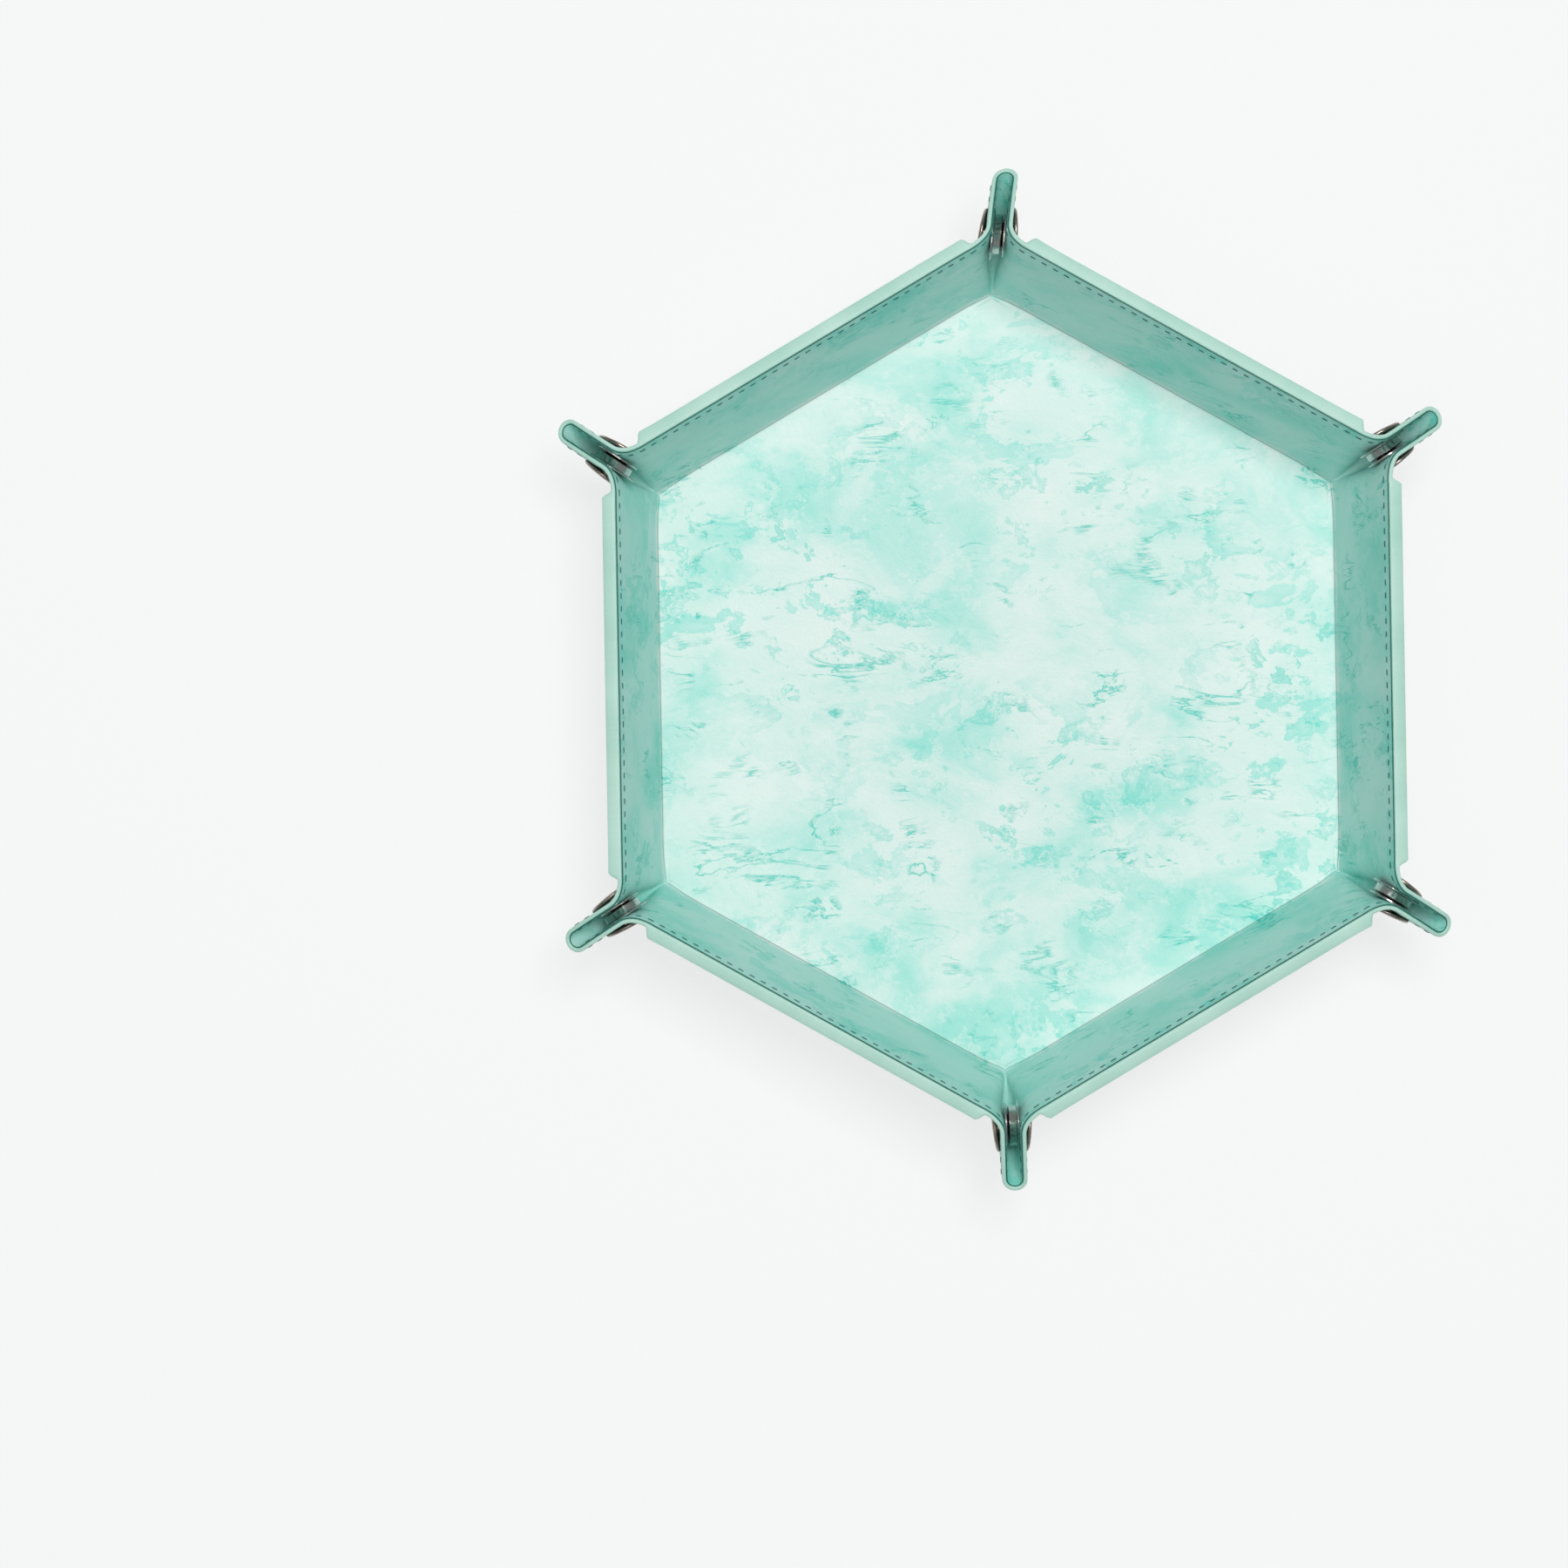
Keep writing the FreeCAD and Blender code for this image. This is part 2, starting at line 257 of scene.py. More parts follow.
def row_end(row):
    """Flat point where a row meets the corner's centre line."""
    x, y = row_point(row, np.full_like(row, ROW_END))
    low = row < FOLD_GAP
    top_x, top_y = row_point(np.full_like(row, FOLD_GAP), np.full_like(row, ROW_END))
    share = (row + FOLD_GAP) / (2 * FOLD_GAP)
    low_x = FLOOR_CORNER - FOLD_GAP * math.tan(HALF_TURN)
    strip_x = low_x + (top_x - low_x) * share
    strip_y = -FOLD_GAP + (top_y + FOLD_GAP) * share
    return np.where(low, strip_x, x), np.where(low, strip_y, y)


def rigid_end(x, y, z):
    """The ear's stiff part and its snap: turned about the ear fold and then with the wall."""
    past = (x - EAR_FOLD_X) * math.cos(EAR_TILT) - y * math.sin(EAR_TILT)
    run = (x - EAR_FOLD_X) * math.sin(EAR_TILT) + y * math.cos(EAR_TILT)
    past, height = turn_about(past, z + LEATHER, -EAR_BEND)
    x = EAR_FOLD_X + past * math.cos(EAR_TILT) + run * math.sin(EAR_TILT)
    y = run * math.cos(EAR_TILT) - past * math.sin(EAR_TILT)
    y, z = turn_about(y, height - LEATHER, LEAN)
    return x, y + FLOOR_APOTHEM, z + THICK


def place(x, y, z, wall, end):
    """From a wall's upright frame to the tray, with each ear's own sideways bend."""
    turn = 2 * HALF_TURN * (wall - 1) - math.pi / 2
    x, y = turn_about(end * x, y, turn)
    for corner, lean in EAR_LEAN.items():
        angle = HALF_TURN + 2 * HALF_TURN * corner
        ux, uy = math.cos(angle), math.sin(angle)
        out = x * ux + y * uy
        side = np.abs(y * ux - x * uy)
        near = smooth((LEAN_WIDTH - side) / LEAN_FADE)
        past = np.clip((out - LEAN_FROM) / TIP_LENGTH, 0, 1.2)
        shift = lean * past ** 1.5 * near
        grow = EAR_STRETCH * smooth((out - STRETCH_FROM) / TIP_LENGTH) * near
        x = x + grow * ux - shift * uy
        y = y + grow * uy + shift * ux
    return np.stack([x, y, z], -1)


def sheet_place(x, y, wall, end):
    """Place on the whole flat sheet, in centimetres, which the marbling follows."""
    a, b = turn_about(end * x, y + FLOOR_APOTHEM, 2 * HALF_TURN * (wall - 1) - math.pi / 2)
    return np.stack([a / 10, b / 10], -1)


# Meshes.

class Shell:
    """Collects closed shells, each a loop of rows, into one mesh."""

    def __init__(self):
        self.points, self.flat, self.edge, self.walls = [], [], [], []
        self.faces, self.tints = [], []
        self.count = 0

    def add(self, points, flat, edge, cap_rows, mat=0, on_wall=0.0):
        rows, cols = points.shape[:2]
        ids = self.count + np.arange(rows * cols).reshape(rows, cols)
        self.points.append(points.reshape(-1, 3))
        self.flat.append(flat.reshape(-1, 2))
        self.edge.append(np.broadcast_to(edge, (rows, cols)).reshape(-1))
        self.walls.append(np.broadcast_to(on_wall, (rows, cols)).reshape(-1))
        for a in range(rows):
            b = (a + 1) % rows
            for j in range(cols - 1):
                self.faces.append((ids[a, j], ids[a, j + 1], ids[b, j + 1], ids[b, j]))
                self.tints.append(mat)
        for j in (0, cols - 1):
            for i in range(cap_rows - 1):
                far = rows - 1 - i
                self.faces.append((ids[i, j], ids[i + 1, j], ids[far - 1, j], ids[far, j]))
                self.tints.append(mat)
            if rows > 2 * cap_rows:
                self.faces.append(tuple(ids[cap_rows - 1:rows - cap_rows + 1, j]))
                self.tints.append(mat)
        self.count += rows * cols

    def build(self, name, materials, body=None):
        mesh = bpy.data.meshes.new(name)
        points = np.concatenate(self.points) * MM
        faces = [tuple(int(i) for i in face) for face in self.faces]
        mesh.from_pydata(points.tolist(), [], faces)
        for m in materials:
            mesh.materials.append(m)
        mesh.polygons.foreach_set("material_index", np.array(self.tints, np.int32))
        flat = np.concatenate(self.flat)
        flat = np.concatenate([flat, np.zeros((len(flat), 1))], 1).ravel().astype("f")
        mesh.attributes.new("sheet", "FLOAT_VECTOR", "POINT").data.foreach_set("vector", flat)
        edge = np.concatenate(self.edge).astype("f")
        mesh.attributes.new("cut_edge_and_fold_shade", "FLOAT", "POINT").data.foreach_set("value", edge)
        raised = np.concatenate(self.walls).astype("f")
        mesh.attributes.new("on_wall", "FLOAT", "POINT").data.foreach_set("value", raised)
        work = bmesh.new()
        work.from_mesh(mesh)
        bmesh.ops.recalc_face_normals(work, faces=work.faces)
        work.to_mesh(mesh)
        work.free()
        mesh.polygons.foreach_set("use_smooth", np.ones(len(mesh.polygons), bool))
        mesh.set_sharp_from_angle(angle=math.radians(42))
        piece = bpy.data.objects.new(name, mesh)
        bpy.context.scene.collection.objects.link(piece)
        if body:
            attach(piece, body)
        return piece


def outer_depth(x, y, row):
    """Depth of the outer face: bare doubled leather, swelling over the stiffener."""
    from_end = smooth((-fold_distance(np.abs(x), y) - SWELL_START) / SWELL_LENGTH)
    from_fold = smooth((np.abs(row) - FOLD_SWELL_START) / FOLD_SWELL_LENGTH)
    return EAR_THICK + (THICK - EAR_THICK) * from_end * from_fold


def wall_surface(x, y, z, row, wall):
    """Folded place of flat points anywhere on a wall; each point uses its own end."""
    end = np.where(x < 0, -1.0, 1.0)
    folded = fold_end(np.abs(x), y, z, row)
    return place(*folded, wall, end), sheet_place(np.abs(x), y, wall, end)


def signed_row_point(row, v):
    x, y = row_point(row, np.abs(v))
    return np.where(v < 0, -x, x), y


def strip_point(row, share):
    """Flat point in the bare strip at the fold; share runs from one corner to the other."""
    top_x, top_y = signed_row_point(np.full_like(row, FOLD_GAP), share * ROW_END)
    low_x = share * (FLOOR_CORNER - FOLD_GAP * math.tan(HALF_TURN))
    t = (row + FOLD_GAP) / (2 * FOLD_GAP)
    return low_x + (top_x - low_x) * t, -FOLD_GAP + (top_y + FOLD_GAP) * t


def rim_profile():
    """Points across the rim: (share of the depth, share of the rounding)."""
    steps = np.linspace(0, math.pi, 9)[1:-1]
    return [((1 - math.cos(a)) / 2, math.sin(a) ** 0.5) for a in steps]


def leather_grid(shell, rows, v, wall, layer, at_rim, flat_point=signed_row_point):
    """A closed shell of one layer over a grid of flat points; v has the same shape as rows."""
    x, y = flat_point(rows, v)
    top_z = np.zeros_like(x) if layer == "inner" else np.full_like(x, -INNER_SKIN)
    low_z = np.full_like(x, -INNER_SKIN) if layer == "inner" else -outer_depth(x, y, rows)
    top, flat = wall_surface(x, y, top_z, rows, wall)
    low, _ = wall_surface(x, y, low_z, rows, wall)
    crease_shade = np.zeros(x.shape)
    # Painted shade: a dark line of the cut-edge colour along the floor fold, where shade falls in the
    # crease.
    if layer == "inner":
        crease_shade = CREASE_PAINTED_SHADE * np.exp(-(rows / CREASE_SHADE_HALF_WIDTH) ** 2)
    points, flats, edges = [top], [flat], [crease_shade]
    # Mask of the walls' painted shade, rising from the floor fold onto the wall.
    raised = [smooth(rows / WALL_PAINTED_SHADE_REACH)]
    if at_rim:
        last = rows[-1]
        reach = WALL_SLANT - last[0]
        if layer == "inner":
            profile = [(0.08, 0.05), (0.92, 0.05)]
        else:
            profile = rim_profile()
        raised.append(np.ones((len(profile), x.shape[1])))
        for depth_share, out_share in profile:
            row = last + reach * out_share
            rx, ry = flat_point(row, v[-1])
            rz = top_z[-1] + (low_z[-1] - top_z[-1]) * depth_share
            p, f = wall_surface(rx, ry, rz, row, wall)
            points.append(p[None])
            flats.append(f[None])
            edges.append(np.full((1, len(rx)), 1.0 if layer == "inner" else 0.0))
    points.append(low[::-1])
    flats.append(flat[::-1])
    edges.append(np.zeros(x.shape))
    raised.append(raised[0][::-1])
    shell.add(np.concatenate(points), np.concatenate(flats), np.concatenate(edges), len(rows),
              on_wall=np.concatenate(raised))


def add_stitches(shell, wall, layer, low, high):
    """Thread lying in short dashes along the rim, between two v limits."""
    count = int(ROW_END / STITCH_PITCH)
    places = [STITCH_PITCH * k for k in range(-count, count + 1)]
    middles = [middle for middle in places if low <= middle < high]
    if not middles:
        return
    along = np.linspace(-1, 1, 7)[None, None, :]
    around = (np.arange(6) * math.pi / 3)[None, :, None]
    thin = np.sqrt(1 - 0.92 * along ** 4)
    v = np.array(middles)[:, None, None] + along * STITCH_LENGTH / 2 + 0 * around
    row = WALL_SLANT - STITCH_FROM_RIM + thin * STITCH_RADIUS * np.cos(around) + 0 * v
    x, y = signed_row_point(row, v)
    lift = thin * STITCH_RADIUS * 0.6 * np.sin(around) + 0 * v
    sink = 0.06 if layer == "inner" else -outer_depth(x, y, row) - 0.06
    points, flat = wall_surface(x, y, sink + lift, row, wall)
    for p, f in zip(points, flat):
        shell.add(p, f, 0.0, 3, 1)


def spread(low, high, shares):
    """Grid of v between two columns of limits."""
    return low[:, None] + (high - low)[:, None] * np.asarray(shares)[None, :]


def wall_rows(top):
    near = [FOLD_GAP, 1.8, 2.1, 2.5, 2.9, 3.4, 4.2, 5.6, 7.4]
    return np.array(near + list(np.linspace(9.2, top, 22)))


# Materials.

def new_material(name):
    material = bpy.data.materials.new(name)
    material.use_nodes = True
    return material, material.node_tree.nodes, material.node_tree.links


def colour(text):
    """Linear colour of an sRGB hex code."""
    parts = [int(text[i:i + 2], 16) / 255 for i in (0, 2, 4)]
    return [p / 12.92 if p <= 0.04045 else ((p + 0.055) / 1.055) ** 2.4 for p in parts] + [1]


def noise(nodes, links, vector, scale, detail=4.0, rough=0.5, distort=0.0):
    node = nodes.new("ShaderNodeTexNoise")
    node.inputs["Scale"].default_value = scale
    node.inputs["Detail"].default_value = detail
    node.inputs["Roughness"].default_value = rough
    node.inputs["Distortion"].default_value = distort
    links.new(vector, node.inputs["Vector"])
    return node.outputs["Fac"]


def ramp(nodes, links, value, stops):
    node = nodes.new("ShaderNodeValToRGB")
    while len(node.color_ramp.elements) < len(stops):
        node.color_ramp.elements.new(0.5)
    for element, (position, shade) in zip(node.color_ramp.elements, stops):
        element.position = position
        element.color = shade
    links.new(value, node.inputs["Fac"])
    return node.outputs["Color"]


def mix(nodes, links, factor, a, b):
    node = nodes.new("ShaderNodeMix")
    node.data_type = "RGBA"
    for value, socket in ((factor, node.inputs[0]), (a, node.inputs[6]), (b, node.inputs[7])):
        if hasattr(value, "links"):
            links.new(value, socket)
        else:
            socket.default_value = value
    return node.outputs[2]


def math_node(nodes, links, operation, a, b=0.0):
    node = nodes.new("ShaderNodeMath")
    node.operation = operation
    for value, socket in ((a, node.inputs[0]), (b, node.inputs[1])):
        if hasattr(value, "links"):
            links.new(value, socket)
        else:
            socket.default_value = value
    return node.outputs[0]


def grain_bump(nodes, links, vector, scale, strength, distance):
    """Fine leather pebble as a bump."""
    cells = nodes.new("ShaderNodeTexVoronoi")
    cells.feature = "SMOOTH_F1"
    cells.inputs["Scale"].default_value = scale
    links.new(vector, cells.inputs["Vector"])
    bump = nodes.new("ShaderNodeBump")
    bump.inputs["Strength"].default_value = strength
    bump.inputs["Distance"].default_value = distance
    links.new(cells.outputs["Distance"], bump.inputs["Height"])
    return bump.outputs["Normal"]


BLACK, WHITE = [0, 0, 0, 1], [1, 1, 1, 1]


def torn_patches(nodes, links, where, scale, low, high):
    """Patches with one crisp torn side: noise cells whose height is cut by a warped edge."""
    field = noise(nodes, links, where, scale, 9.0, 0.66, 0.35)
    stops = [(low, BLACK), (low + 0.012, [0.75, 0.75, 0.75, 1]), (high, BLACK)]
    return ramp(nodes, links, field, stops)


def stretched(nodes, links, vector, turn, scale):
    """The sheet's coordinates turned and stretched, so the clouds run one way."""
    mapping = nodes.new("ShaderNodeMapping")
    mapping.inputs["Rotation"].default_value = (0, 0, math.radians(turn))
    mapping.inputs["Scale"].default_value = scale
    links.new(vector, mapping.inputs["Vector"])
    return mapping.outputs["Vector"]


def marbled_leather():
    """Pale mint leatherette with turquoise clouds, torn-edged patches and short bright streaks, with
    painted shade on the walls and along the floor fold's crease.
    """
    material, nodes, links = new_material("inner_leather_marbled")
    shader = nodes["Principled BSDF"]
    sheet = nodes.new("ShaderNodeAttribute")
    sheet.attribute_name = "sheet"
    where = sheet.outputs["Vector"]
    along = stretched(nodes, links, where, 48, (0.72, 1.0, 1.0))
    clouds = noise(nodes, links, along, 0.42, 7.0, 0.58, 0.5)
    tint = ramp(nodes, links, clouds, [(0.36, colour("ECF5F1")), (0.50, colour("DDF2EC")),
                                       (0.60, colour("BFEDE4")), (0.74, colour("92E6D9"))])
    region = noise(nodes, links, where, 0.22, 2.0, 0.5, 0.3)
    busy = ramp(nodes, links, region, [(0.40, [0.12, 0.12, 0.12, 1]), (0.62, WHITE)])
    patches = [(-50, 0.5, 0.555, 0.72, "8CE5D9"),
               (25, 0.8, 0.575, 0.66, "5CDACC"),
               (-20, 1.6, 0.60, 0.67, "7AE1D4")]
    for seed, (turn, scale, low, high, shade) in enumerate(patches):
        frame_of_patch = stretched(nodes, links, where, turn + 7 * seed, (0.75, 1.0, 1.0))
        patch = torn_patches(nodes, links, frame_of_patch, scale, low, high)
        amount = math_node(nodes, links, "MULTIPLY", patch, busy)
        tint = mix(nodes, links, amount, tint, colour(shade))
    drawn_out = stretched(nodes, links, where, -62, (0.45, 1.5, 1.0))
    streaks = noise(nodes, links, drawn_out, 0.9, 6.0, 0.6, 0.9)
    ridge = math_node(nodes, links, "ABSOLUTE", math_node(nodes, links, "SUBTRACT", streaks, 0.52))
    line = ramp(nodes, links, ridge, [(0.0, WHITE), (0.006, [0.7, 0.7, 0.7, 1]), (0.03, BLACK)])
    broken = noise(nodes, links, where, 0.6, 3.0, 0.6, 0.4)
    seen = ramp(nodes, links, broken, [(0.52, BLACK), (0.62, WHITE)])
    tint = mix(nodes, links, math_node(nodes, links, "MULTIPLY", line, seen), tint, colour("38CFC0"))
    turned = stretched(nodes, links, where, 10, (0.8, 1.0, 1.0))
    chips = noise(nodes, links, turned, 1.3, 9.0, 0.68, 0.2)
    pale = ramp(nodes, links, chips, [(0.55, BLACK), (0.562, WHITE), (0.60, [0.2, 0.2, 0.2, 1])])
    tint = mix(nodes, links, math_node(nodes, links, "MULTIPLY", pale, 0.6), tint, colour("E9F5F0"))
    # Painted shade: the raised walls are multiplied towards a deeper teal, standing for the shade they
    # get from the overhead light.
    raised = nodes.new("ShaderNodeAttribute")
    raised.attribute_name = "on_wall"
    painted_wall_shade = nodes.new("ShaderNodeMix")
    painted_wall_shade.data_type = "RGBA"
    painted_wall_shade.blend_type = "MULTIPLY"
    wall_shade_share = math_node(nodes, links, "MULTIPLY", raised.outputs["Fac"], WALL_PAINTED_SHADE)
    links.new(wall_shade_share, painted_wall_shade.inputs[0])
    links.new(tint, painted_wall_shade.inputs[6])
    painted_wall_shade.inputs[7].default_value = (0.46, 0.84, 0.80, 1)
    tint = painted_wall_shade.outputs[2]
    # The cut edge's own dark colour, which also carries the painted shade along the floor fold's crease.
    cut = nodes.new("ShaderNodeAttribute")
    cut.attribute_name = "cut_edge_and_fold_shade"
    tint = mix(nodes, links, cut.outputs["Fac"], tint, colour("1E6B5E"))
    links.new(tint, shader.inputs["Base Color"])
    shader.inputs["Roughness"].default_value = 0.45
    shader.inputs["Specular IOR Level"].default_value = 0.35
    links.new(grain_bump(nodes, links, where, 16.0, 0.22, 0.0002), shader.inputs["Normal"])
    return material


def mint_leather():
    material, nodes, links = new_material("outer_leather_mint")
    shader = nodes["Principled BSDF"]
    sheet = nodes.new("ShaderNodeAttribute")
    sheet.attribute_name = "sheet"
    place_on_sheet = sheet.outputs["Vector"]
    drift = noise(nodes, links, place_on_sheet, 0.8, 3.0)
    tint = ramp(nodes, links, drift, [(0.3, colour("B4DFD0")), (0.7, colour("C6E9DC"))])
    links.new(tint, shader.inputs["Base Color"])
    shader.inputs["Roughness"].default_value = 0.48
    shader.inputs["Specular IOR Level"].default_value = 0.35
    links.new(grain_bump(nodes, links, place_on_sheet, 14.0, 0.3, 0.0002), shader.inputs["Normal"])
    return material


def fibreboard():
    material, nodes, links = new_material("stiffener_fibreboard")
    shader = nodes["Principled BSDF"]
    where = nodes.new("ShaderNodeTexCoord").outputs["Object"]
    fibres = noise(nodes, links, where, 900.0, 6.0, 0.7, 0.5)
    tint = ramp(nodes, links, fibres, [(0.3, colour("8A6A48")), (0.7, colour("B79A73"))])
    links.new(tint, shader.inputs["Base Color"])
    shader.inputs["Roughness"].default_value = 0.85
    return material


def snap_metal(name, dark, light, rough):
    material, nodes, links = new_material(name)
    shader = nodes["Principled BSDF"]
    where = nodes.new("ShaderNodeTexCoord").outputs["Object"]
    wear = noise(nodes, links, where, 700.0, 4.0, 0.6)
    tint = ramp(nodes, links, wear, [(0.35, colour(dark)), (0.65, colour(light))])
    links.new(tint, shader.inputs["Base Color"])
    shader.inputs["Metallic"].default_value = 1.0
    shader.inputs["Roughness"].default_value = rough
    return material


def thread_material():
    material, nodes, links = new_material("stitch_thread_teal")
    shader = nodes["Principled BSDF"]
    where = nodes.new("ShaderNodeTexCoord").outputs["Object"]
    ply = noise(nodes, links, where, 2500.0, 2.0, 0.5)
    tint = ramp(nodes, links, ply, [(0.35, colour("174F4B")), (0.7, colour("2A8079"))])
    links.new(tint, shader.inputs["Base Color"])
    shader.inputs["Roughness"].default_value = 0.6
    return material


MARBLED = marbled_leather()
MINT = mint_leather()
FIBRE = fibreboard()
CAP_METAL = snap_metal("snap_cap_gunmetal", "8C7F78", "A89A92", 0.26)
BRIGHT_METAL = snap_metal("snap_bright_nickel", "B5B3B0", "D0CECB", 0.18)
THREAD = thread_material()
LAYERS = {"inner": ([MARBLED, THREAD], "inner_leather"), "outer": ([MINT, THREAD], "outer_leather")}


# Leather pieces.

def rim_row(layer):
    return WALL_SLANT - (INNER_RIM if layer == "inner" else RIM_ROUND)


BEND_COLUMNS = np.linspace(0, 1, 19)
EAR_COLUMNS = np.concatenate([np.linspace(0, 0.45, 6), np.linspace(0.45, 1, 15)[1:]])


def stitch_limit(distance):
    return float(row_at_fold(np.array([WALL_SLANT - STITCH_FROM_RIM]), distance)[0])


def add_end_stitches(shell, wall, end, layer, low, high):
    if end > 0:
        add_stitches(shell, wall, layer, low, high)
    else:
        add_stitches(shell, wall, layer, -high + 1e-6, -low)


def panel(wall, layer):
    rows = wall_rows(rim_row(layer))
    limit = row_at_fold(rows, -PANEL_END)
    close = np.array([0, .006, .012, .018, .024, .032, .045, .07, .11, .17, .25, .34, .42, .5])
    shares = np.concatenate([close, 1 - close[-2::-1]])
    shell = Shell()
    v = spread(-limit, limit, shares)
    leather_grid(shell, np.broadcast_to(rows[:, None], v.shape), v, wall, layer, True)
    reach = stitch_limit(-PANEL_END)
    add_stitches(shell, wall, layer, -reach, reach)
    piece = shell.build("wall_%d_%s_panel" % (wall, layer), LAYERS[layer][0], "wall_%d" % wall)
    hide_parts("wall_%d_%s_leather" % (wall, layer))


def fold_strip(wall, layer):
    steps = np.linspace(-1, 1, 17)
    rows = FOLD_GAP * np.sign(steps) * np.abs(steps) ** 1.6
    shares = np.linspace(-1, 1, 61)
    shares = np.sign(shares) * np.abs(shares) ** 0.55
    shell = Shell()
    v = np.broadcast_to(shares[None, :], (len(rows), len(shares)))
    leather_grid(shell, np.broadcast_to(rows[:, None], v.shape), v, wall, layer, False, strip_point)
    piece = shell.build("wall_%d_%s_fold" % (wall, layer), LAYERS[layer][0])
    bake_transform(piece)


def ear_bend(wall, end, side, layer):
    """The soft bend from wall to ear, and the ear's root down to the floor's corner."""
    rows = wall_rows(rim_row(layer))
    v = spread(row_at_fold(rows, -PANEL_END), bend_end(rows), BEND_COLUMNS)
    shell = Shell()
    leather_grid(shell, np.broadcast_to(rows[:, None], v.shape), v * end, wall, layer, True)
    add_end_stitches(shell, wall, end, layer, stitch_limit(-PANEL_END), stitch_limit(BEND_ON_EAR))
    piece = shell.build("wall_%d_%s_%s_bend" % (wall, side, layer), LAYERS[layer][0])
    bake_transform(piece)


def ear(wall, end, side, layer):
    """The ear's flat part and its rolled tip."""
    rows = wall_rows(rim_row(layer))
    v = spread(bend_end(rows), np.full(len(rows), ROW_END), EAR_COLUMNS)
    shell = Shell()
    leather_grid(shell, np.broadcast_to(rows[:, None], v.shape), v * end, wall, layer, True)
    add_end_stitches(shell, wall, end, layer, stitch_limit(BEND_ON_EAR), ROW_END - STITCH_PITCH)
    piece = shell.build("wall_%d_%s_%s_ear" % (wall, side, layer), LAYERS[layer][0])
    base = "wall_%d_%s_ear" % (wall, side)
    if layer == "outer":
        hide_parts(base, base + "_tip")
    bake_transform(piece)


def floor_layer(layer):
    """The flat floor out to the bare strips, with its underside rising at the edge."""
    edge = FLOOR_APOTHEM - FOLD_GAP
    insets = np.array([0, 0.4, 0.8, 1.2, 1.6, 2.2, 4, 8, 14, 22, 32, 44, 58, 70, 79.9])
    shares = np.linspace(-1, 1, 25)
    shell = Shell()
    for wall in range(1, SIDES + 1):
        rows = -FOLD_GAP - insets[:, None] + 0 * shares[None, :]
        x = shares[None, :] * (edge - insets[:, None]) * math.tan(HALF_TURN)
        y = rows
        depth = np.full_like(x, INNER_SKIN) if layer == "inner" else outer_depth(0 * x, y, rows)
        top_z = THICK - (0 if layer == "inner" else INNER_SKIN) + 0 * x
        top = place(x, y + FLOOR_APOTHEM, top_z, wall, 1)
        low = place(x, y + FLOOR_APOTHEM, THICK - depth, wall, 1)
        flat = sheet_place(x, y, wall, 1)
        shell.add(np.concatenate([top, low[::-1]]), np.concatenate([flat, flat[::-1]]), 0.0, len(rows))
    piece = shell.build("floor_%s" % layer, LAYERS[layer][0], "root")
    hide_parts("floor_%s_leather" % layer)


for layer_name in ("inner", "outer"):
    floor_layer(layer_name)
    for wall_number in range(1, SIDES + 1):
        panel(wall_number, layer_name)
        fold_strip(wall_number, layer_name)
        for end_sign, side_name in ((-1, "stud"), (1, "socket")):
            ear_bend(wall_number, end_sign, side_name, layer_name)
            ear(wall_number, end_sign, side_name, layer_name)


# Press snaps, turned from (radius, height) profiles over the leather's inner face.

CAP_PROFILE = [(0.01, 0.0), (1.5, 0.0), (1.5, -1.3), (4.3, -1.3), (4.9, -1.38), (5.05, -1.65),
               (4.95, -1.95), (4.5, -2.18), (3.2, -2.32), (1.6, -2.4), (0.01, -2.42)]
SOCKET_PROFILE = [(0.01, 0.5), (3.5, 0.5), (3.6, 0.7), (3.6, 1.9), (2.3, 2.0), (2.3, 2.5), (2.5, 2.6),
                  (3.6, 2.6), (4.1, 2.45), (4.3, 2.1), (4.3, 0.8), (4.5, 0.58), (4.8, 0.52), (5.1, 0.64),
                  (5.4, 0.58), (5.6, 0.36), (5.55, 0.1), (5.4, 0.02), (0.01, 0.02)]
STUD_PROFILE = [(0.01, 0.02), (4.8, 0.02), (5.0, 0.15), (4.95, 0.42), (4.6, 0.6), (4.25, 0.5), (3.9, 0.4),
                (2.9, 0.42), (2.5, 0.7), (1.9, 0.95), (1.7, 1.3), (1.7, 1.7), (1.9, 1.95), (1.9, 2.4),
                (1.7, 2.65), (1.1, 2.75), (0.01, 2.75)]
SPRING_PROFILE = [(2.0, 1.15), (2.2, 1.35), (2.4, 1.15), (2.2, 0.95), (2.0, 1.15)]
CAP_TILT = 7.0              # degrees by which the wall's bend pushes a cap over
CAP_SHIFT = 0.7             # and sideways, towards the tip
CAP_LIFT = 0.35             # proud of the leather, which is pressed in around its stem
LATHE_STEPS = 48


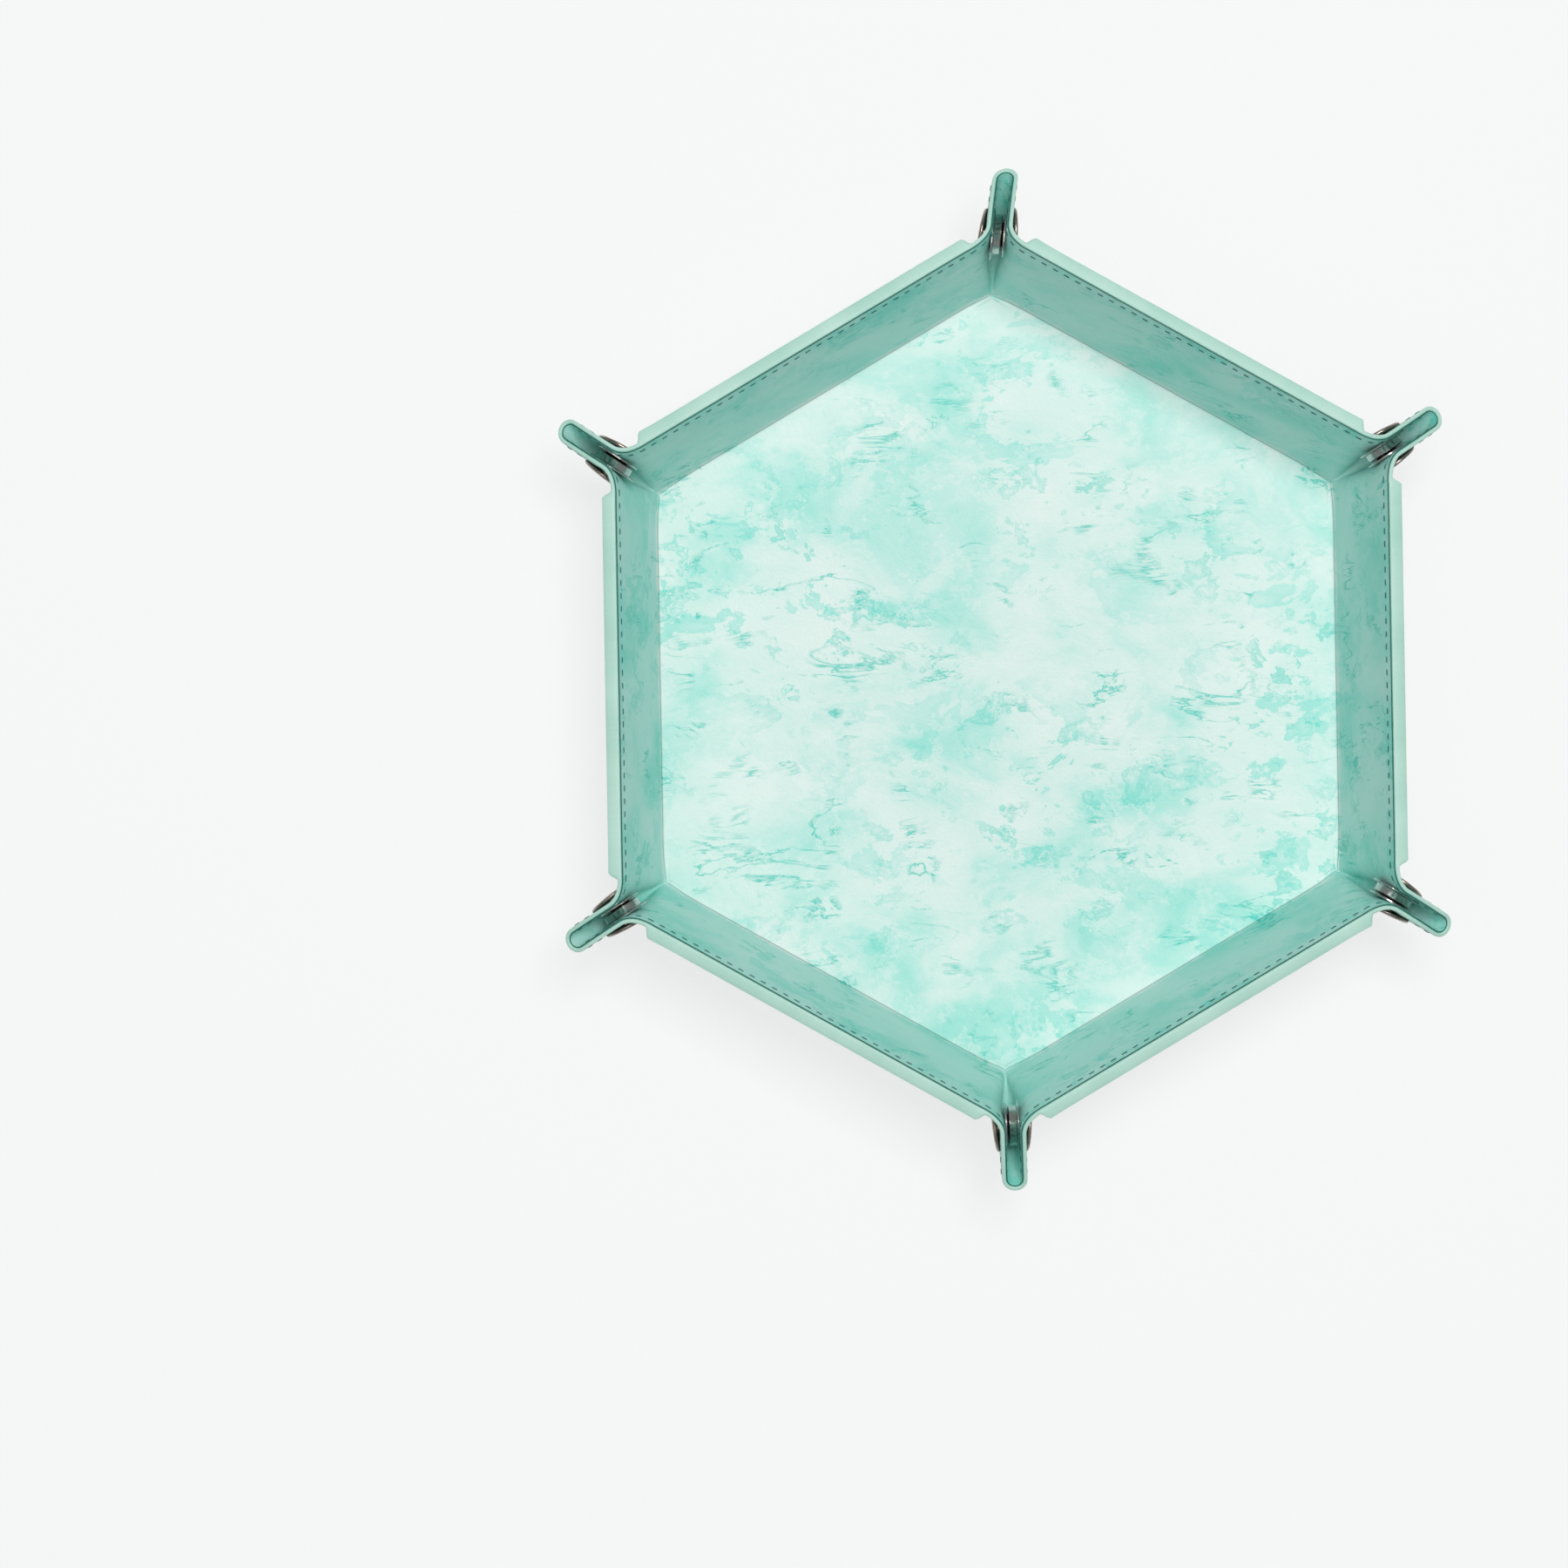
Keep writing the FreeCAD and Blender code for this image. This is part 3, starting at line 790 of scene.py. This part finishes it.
def lathe(name, profile, material, wall, end, side, tilt=0.0, shift=0.0):
    """A turned part of a snap at its place on the ear."""
    profile = np.array(profile)
    turn = np.linspace(0, 2 * math.pi, LATHE_STEPS, endpoint=False)
    across = profile[:, 0][:, None] * np.cos(turn)
    along = profile[:, 0][:, None] * np.sin(turn)
    height = profile[:, 1][:, None] + 0 * across
    foot = -EAR_THICK - (CAP_LIFT if tilt else 0)
    across, lifted = turn_about(across, height + EAR_THICK, math.radians(tilt))
    x, y = from_corner(SNAP_REACH + along, SNAP_OFF_CENTRE - shift - across)
    points = place(*rigid_end(x, y, lifted + foot), wall, end).reshape(-1, 3) * MM
    rings = len(profile)
    faces = []
    for i in range(rings - 1):
        for j in range(LATHE_STEPS):
            k = (j + 1) % LATHE_STEPS
            low, high = i * LATHE_STEPS, (i + 1) * LATHE_STEPS
            faces.append((low + j, low + k, high + k, high + j))
    mesh = bpy.data.meshes.new(name)
    mesh.from_pydata(points.tolist(), [], faces)
    work = bmesh.new()
    work.from_mesh(mesh)
    bmesh.ops.remove_doubles(work, verts=work.verts, dist=0.02 * MM)
    bmesh.ops.recalc_face_normals(work, faces=work.faces)
    work.to_mesh(mesh)
    work.free()
    mesh.materials.append(material)
    mesh.polygons.foreach_set("use_smooth", np.ones(len(mesh.polygons), bool))
    mesh.set_sharp_from_angle(angle=math.radians(50))
    piece = bpy.data.objects.new(name, mesh)
    bpy.context.scene.collection.objects.link(piece)
    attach(piece, "wall_%d_%s_ear_body" % (wall, side))
    return piece


for wall_number in range(1, SIDES + 1):
    for end_sign, side_name in ((-1, "stud"), (1, "socket")):
        stem = "wall_%d_%s" % (wall_number, side_name)
        where_on = (wall_number, end_sign, side_name)
        snap_cap = lathe(stem + "_cap", CAP_PROFILE, CAP_METAL, *where_on, CAP_TILT, CAP_SHIFT)
        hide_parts(stem + "_snap")
        if side_name == "socket":
            lathe(stem + "_socket", SOCKET_PROFILE, BRIGHT_METAL, *where_on)
            lathe(stem + "_spring", SPRING_PROFILE, BRIGHT_METAL, *where_on)
        else:
            lathe(stem + "_stud", STUD_PROFILE, BRIGHT_METAL, *where_on)


# Carried-over solids.

for node_name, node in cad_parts.items():
    if node_name.endswith("board"):
        node.data.materials.clear()
        node.data.materials.append(FIBRE)
    if node_name.endswith("snap"):
        node.data.materials.clear()
        node.data.materials.append(CAP_METAL)


# Floor, light and camera.

TABLE_GLOW = 0.72           # share of plain white in the table as the camera sees it
WORLD_TINT, WORLD_STRENGTH = (0.84, 0.96, 0.95, 1), 0.30
LAMPS = (("key", (0.18, 0.34, 1.6), 0.6, 14.2),     # name, place, size and power
         ("fill", (-0.5, -0.3, 1.5), 1.0, 3.0))
CAMERA_ANGLE = 17.93
CAMERA_AT = (-0.0520, -0.0236, 1.2)
CAMERA_TURN = -1.0


def studio():
    mesh = bpy.data.meshes.new("table")
    half = 2.0
    corners = [(-half, -half, 0), (half, -half, 0), (half, half, 0), (-half, half, 0)]
    mesh.from_pydata(corners, [], [(0, 1, 2, 3)])
    table = bpy.data.objects.new("table", mesh)
    bpy.context.scene.collection.objects.link(table)
    material, nodes, links = new_material("table_white")
    nodes["Principled BSDF"].inputs["Base Color"].default_value = (0.86, 0.87, 0.87, 1)
    nodes["Principled BSDF"].inputs["Roughness"].default_value = 0.7
    rays = nodes.new("ShaderNodeLightPath")
    lit = nodes.new("ShaderNodeEmission")
    blend = nodes.new("ShaderNodeMixShader")
    direct, glossy = rays.outputs["Is Camera Ray"], rays.outputs["Is Glossy Ray"]
    seen = math_node(nodes, links, "MAXIMUM", direct, glossy)
    links.new(math_node(nodes, links, "MULTIPLY", seen, TABLE_GLOW), blend.inputs["Fac"])
    links.new(nodes["Principled BSDF"].outputs["BSDF"], blend.inputs[1])
    links.new(lit.outputs["Emission"], blend.inputs[2])
    links.new(blend.outputs["Shader"], nodes["Material Output"].inputs["Surface"])
    mesh.materials.append(material)
    world = bpy.data.worlds.new("studio_world")
    bpy.context.scene.world = world
    world.use_nodes = True
    sky = world.node_tree.nodes["Background"]
    sky.inputs["Color"].default_value = WORLD_TINT
    sky.inputs["Strength"].default_value = WORLD_STRENGTH
    for name, where, size, power in LAMPS:
        lamp = bpy.data.lights.new(name, "AREA")
        lamp.size = size
        lamp.energy = power
        light = bpy.data.objects.new(name, lamp)
        light.location = where
        aim = -np.array(where)
        tilt = math.atan2(math.hypot(aim[0], aim[1]), -aim[2])
        light.rotation_euler = (tilt, 0, math.atan2(aim[1], aim[0]) - math.pi / 2)
        bpy.context.scene.collection.objects.link(light)


def camera():
    """Looking straight down, with the tray right of and above the middle."""
    data = bpy.data.cameras.new("camera")
    data.sensor_fit = "HORIZONTAL"
    data.angle = math.radians(CAMERA_ANGLE)
    view = bpy.data.objects.new("camera", data)
    view.location = CAMERA_AT
    view.rotation_euler = (0, 0, math.radians(CAMERA_TURN))
    bpy.context.scene.collection.objects.link(view)
    bpy.context.scene.camera = view


studio()
camera()
bpy.context.scene.view_settings.view_transform = "Standard"
